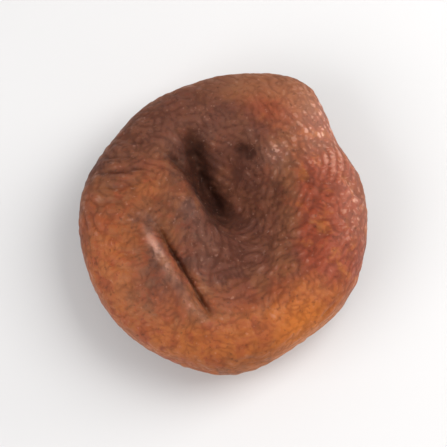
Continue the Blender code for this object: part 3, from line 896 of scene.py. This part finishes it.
def skin_material(look):
    """The dried skin: brown, with orange, red and greyish places whose edges a noise breaks up, some of them
    painted shade and highlights, with painted shade in valleys and over the folds' darker skin, painted
    highlights on ridges, as glints with a little frost and on the crest, dark and light flecks, a waxy gloss,
    and crinkles and specks in its bump."""
    w = Wiring("dried_skin")
    patches = w.noise(*PATCHES)
    blotches = w.noise(*BLOTCHES)
    relief = w.mask("relief")
    off_middle = w.math("SUBTRACT", patches, 0.5)
    uneven = w.math("MULTIPLY_ADD", w.math("SUBTRACT", blotches, 0.5), BLOTCHES_IN_EDGES, off_middle)
    crinkle = crinkle_cells(w)

    colour = coated_colour(w, look, patches, blotches, uneven)
    colour = skin_colour(w, look, blotches, uneven, relief, crinkle, colour)
    w.put(w.shader.inputs["Base Color"], colour)
    w.put(w.shader.inputs["Roughness"], skin_gloss(w, look, blotches, uneven, relief))
    bump = w.bump(crinkle, *CRINKLE_BUMP)
    w.put(w.shader.inputs["Normal"], w.bump(w.noise(*SPECKS), *SPECK_BUMP, Normal=bump))
    w.shader.inputs["Subsurface Weight"].default_value = look.glow
    for name, value in SKIN_SETTINGS.items():
        w.shader.inputs[name].default_value = value
    return w.material


def table_material(colour):
    """Smooth pale card, a touch uneven in gloss."""
    w = Wiring("pale_card")
    w.shader.inputs["Base Color"].default_value = (*colour, 1.0)
    w.put(w.shader.inputs["Roughness"], w.ramp(w.noise(TABLE_NOISE), *TABLE_GLOSS))
    return w.material


def mesh_object(name, points, faces, masks, material):
    """A smooth mesh object at the origin, with a number on each point for each mask."""
    mesh = bpy.data.meshes.new(name)
    mesh.from_pydata(points.tolist(), [], faces.tolist())
    for mask, values in masks.items():
        mesh.attributes.new(mask, "FLOAT", "POINT").data.foreach_set("value", values.astype(np.float32))
    mesh.shade_smooth()
    mesh.materials.append(material)
    made = bpy.data.objects.new(name, mesh)
    bpy.context.scene.collection.objects.link(made)
    return made


def aim(thing, at):
    """Turn an object's own -Z towards a point."""
    thing.rotation_mode = "QUATERNION"
    thing.rotation_quaternion = (Vector(at) - thing.location).to_track_quat("-Z", "Y")


def soft_light(name, place, across, power, colour):
    """A square lamp of the given width that faces the fruit."""
    lamp = bpy.data.lights.new(name, "AREA")
    lamp.size = across
    lamp.energy = power
    lamp.color = colour
    holder = bpy.data.objects.new(name, lamp)
    bpy.context.scene.collection.objects.link(holder)
    holder.location = place
    aim(holder, LAMPS_AIM)


def length(name, description, default, least, most):
    """A property that holds a length in metres."""
    return FloatProperty(name=name, description=description, default=default, min=least, max=most,
                         precision=5, subtype="DISTANCE", unit="LENGTH")


def colour(name, description, default):
    """A property that holds a colour."""
    return FloatVectorProperty(name=name, description=description, default=default, size=3,
                               min=0.0, max=1.0, subtype="COLOR")


class ApricotShape(bpy.types.PropertyGroup):
    """Sizes of the fruit and of its puckers."""

    width: length("Width", "Across the fruit, left to right", FRUIT_SIZE[0], 0.01, 0.08)
    length: length("Length", "Across the fruit, front to back", FRUIT_SIZE[1], 0.01, 0.08)
    height: length("Height", "From the table to the top of the rim", FRUIT_SIZE[2], 0.004, 0.04)
    pucker_above: length("Puckers above", "Height of the large puckers on the upper cheek",
                         0.12 * MM, 0.0, 0.001)
    pucker_below: length("Puckers below", "Height of the large puckers on the lower cheek",
                         0.3 * MM, 0.0, 0.001)
    wrinkle_height: length("Wrinkles", "Height of the wrinkles between the puckers", 0.1 * MM, 0.0, 0.001)
    crinkle_height: length("Crinkles", "Height of the finest modelled crinkles", 0.028 * MM, 0.0, 0.0005)
    cells: IntProperty(name="Cells", description="Cells along each edge of the grid",
                       default=128, min=16, max=128)


class ApricotSkin(bpy.types.PropertyGroup):
    """Colours and gloss of the dried skin."""

    orange: colour("Orange", "The brightest skin, at the rim's front and on the seam", paint(196, 112, 44))
    amber: colour("Amber", "Skin that kept a browner orange", paint(168, 95, 48))
    red: colour("Red brown", "The flush on the right of the rim and in patches", paint(139, 63, 41))
    brown: colour("Brown", "The main colour of the wrinkled skin", paint(128, 76, 48))
    # Purple brown: patches, and the greyer places with their painted shade
    purple: colour("Purple brown", "Patches in the brown, and the darker, greyer places", paint(95, 56, 44))
    # Tan: greyish skin, and painted highlights on the top right, the right edge and the crease's lip
    tan: colour("Tan", "Greyish places, most of them on the rim's far side", paint(136, 88, 62))
    # Umber: painted shade on the floor of the hollow
    umber: colour("Umber", "The floor of the hollow", paint(96, 56, 45))
    # Dark: flecks of the skin, and painted shade inside the slit
    dark_and_slit_shade: colour("Dark", "Flecks, and the inside of the slit", paint(44, 24, 14))
    # Bloom: painted highlights on ridges and the crest, frost among the glints, and light flecks
    highlight_and_bloom: colour("Bloom", "Frost on ridges and on the crest, and light flecks", paint(212, 162, 142))
    roughness: FloatProperty(name="Roughness", description="Roughness of the skin",
                             default=0.43, min=0.0, max=1.0)
    glow: FloatProperty(name="Glow", description="Share of the light that scatters inside the flesh",
                        default=0.22, min=0.0, max=1.0)


class ApricotStage(bpy.types.PropertyGroup):
    """The table, the light and the camera."""

    table: colour("Table", "Colour of the table", (0.69, 0.69, 0.70))
    view_height: FloatProperty(name="View height", description="How far above the horizon the camera stands",
                               default=math.radians(74.0), min=0.0, max=math.radians(90.0), subtype="ANGLE",
                               unit="ROTATION")
    view_distance: length("View distance", "From the camera to the fruit", 0.32, 0.1, 2.0)
    view_width: length("View width", "Width of what the camera sees at the fruit", 0.058, 0.02, 1.0)
    key_power: FloatProperty(name="Key light", description="Power of the soft lamp high on the right",
                             default=0.565, min=0.0, max=50.0, subtype="POWER", unit="POWER")
    edge_power: FloatProperty(name="Edge light", description="Power of the low lamp on the right",
                              default=0.25, min=0.0, max=50.0, subtype="POWER", unit="POWER")
    fill_power: FloatProperty(name="Fill light", description="Power of the wide lamp at the front left",
                              default=0.78, min=0.0, max=50.0, subtype="POWER", unit="POWER")
    daylight: FloatProperty(name="Daylight", description="Strength of the even light from all round",
                            default=0.46, min=0.0, max=10.0)


class APRICOT_OT_fruit(bpy.types.Operator):
    """Make the dried apricot"""

    bl_idname = "apricot.fruit"
    bl_label = "Make the fruit"

    def execute(self, context):
        scene = context.scene
        points, quads, masks = fruit_surface(scene.apricot_shape)
        skin = mesh_object("apricot_skin", points, quads, masks, skin_material(scene.apricot_skin))
        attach(skin, "root")
        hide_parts("apricot")
        return {"FINISHED"}


class APRICOT_OT_stage(bpy.types.Operator):
    """Lay the table, and place the lamps and the camera"""

    bl_idname = "apricot.stage"
    bl_label = "Make the stage"

    def execute(self, context):
        stage = context.scene.apricot_stage
        corners, face = np.array(TABLE_CORNERS), np.array(((0, 1, 2, 3),))
        table = mesh_object("table", corners, face, {}, table_material(stage.table))

        world = bpy.data.worlds.new("daylight")
        world.use_nodes = True
        world.node_tree.nodes["Background"].inputs["Color"].default_value = DAYLIGHT
        world.node_tree.nodes["Background"].inputs["Strength"].default_value = stage.daylight
        context.scene.world = world
        context.scene.view_settings.view_transform = "Standard"

        powers = {"key": stage.key_power, "edge": stage.edge_power, "fill": stage.fill_power}
        for name, (place, across, tint) in LAMPS.items():
            soft_light(name, place, across, powers[name], tint)

        camera = bpy.data.objects.new("camera", bpy.data.cameras.new("camera"))
        context.scene.collection.objects.link(camera)
        camera.data.lens = camera.data.sensor_width * stage.view_distance / stage.view_width
        middle = Vector((0.0, 0.0, 0.5 * FRUIT_SIZE[2]))
        back = Vector((0.0, -math.cos(stage.view_height), math.sin(stage.view_height)))
        camera.location = middle + stage.view_distance * back
        aim(camera, middle)
        context.scene.camera = camera
        return {"FINISHED"}


class APRICOT_PT_panel(bpy.types.Panel):
    """The fruit's and the stage's settings, with a button to make each"""

    bl_label = "Dried apricot"
    bl_idname = "APRICOT_PT_panel"
    bl_space_type = "VIEW_3D"
    bl_region_type = "UI"
    bl_category = "Apricot"

    def draw(self, context):
        for group, operator in GROUPS:
            box = self.layout.box()
            settings = getattr(context.scene, group)
            for name in settings.bl_rna.properties.keys():
                if name not in ("rna_type", "name"):
                    box.prop(settings, name)
            if operator:
                box.operator(operator)


GROUPS = (("apricot_shape", ""), ("apricot_skin", "apricot.fruit"), ("apricot_stage", "apricot.stage"))
CLASSES = (ApricotShape, ApricotSkin, ApricotStage, APRICOT_OT_fruit, APRICOT_OT_stage, APRICOT_PT_panel)


def register():
    for each in CLASSES:
        bpy.utils.register_class(each)
    bpy.types.Scene.apricot_shape = PointerProperty(type=ApricotShape)
    bpy.types.Scene.apricot_skin = PointerProperty(type=ApricotSkin)
    bpy.types.Scene.apricot_stage = PointerProperty(type=ApricotStage)


def unregister():
    del bpy.types.Scene.apricot_stage
    del bpy.types.Scene.apricot_skin
    del bpy.types.Scene.apricot_shape
    for each in reversed(CLASSES):
        bpy.utils.unregister_class(each)


def main():
    register()
    bpy.ops.apricot.fruit()
    bpy.ops.apricot.stage()


if __name__ == "__main__":
    main()
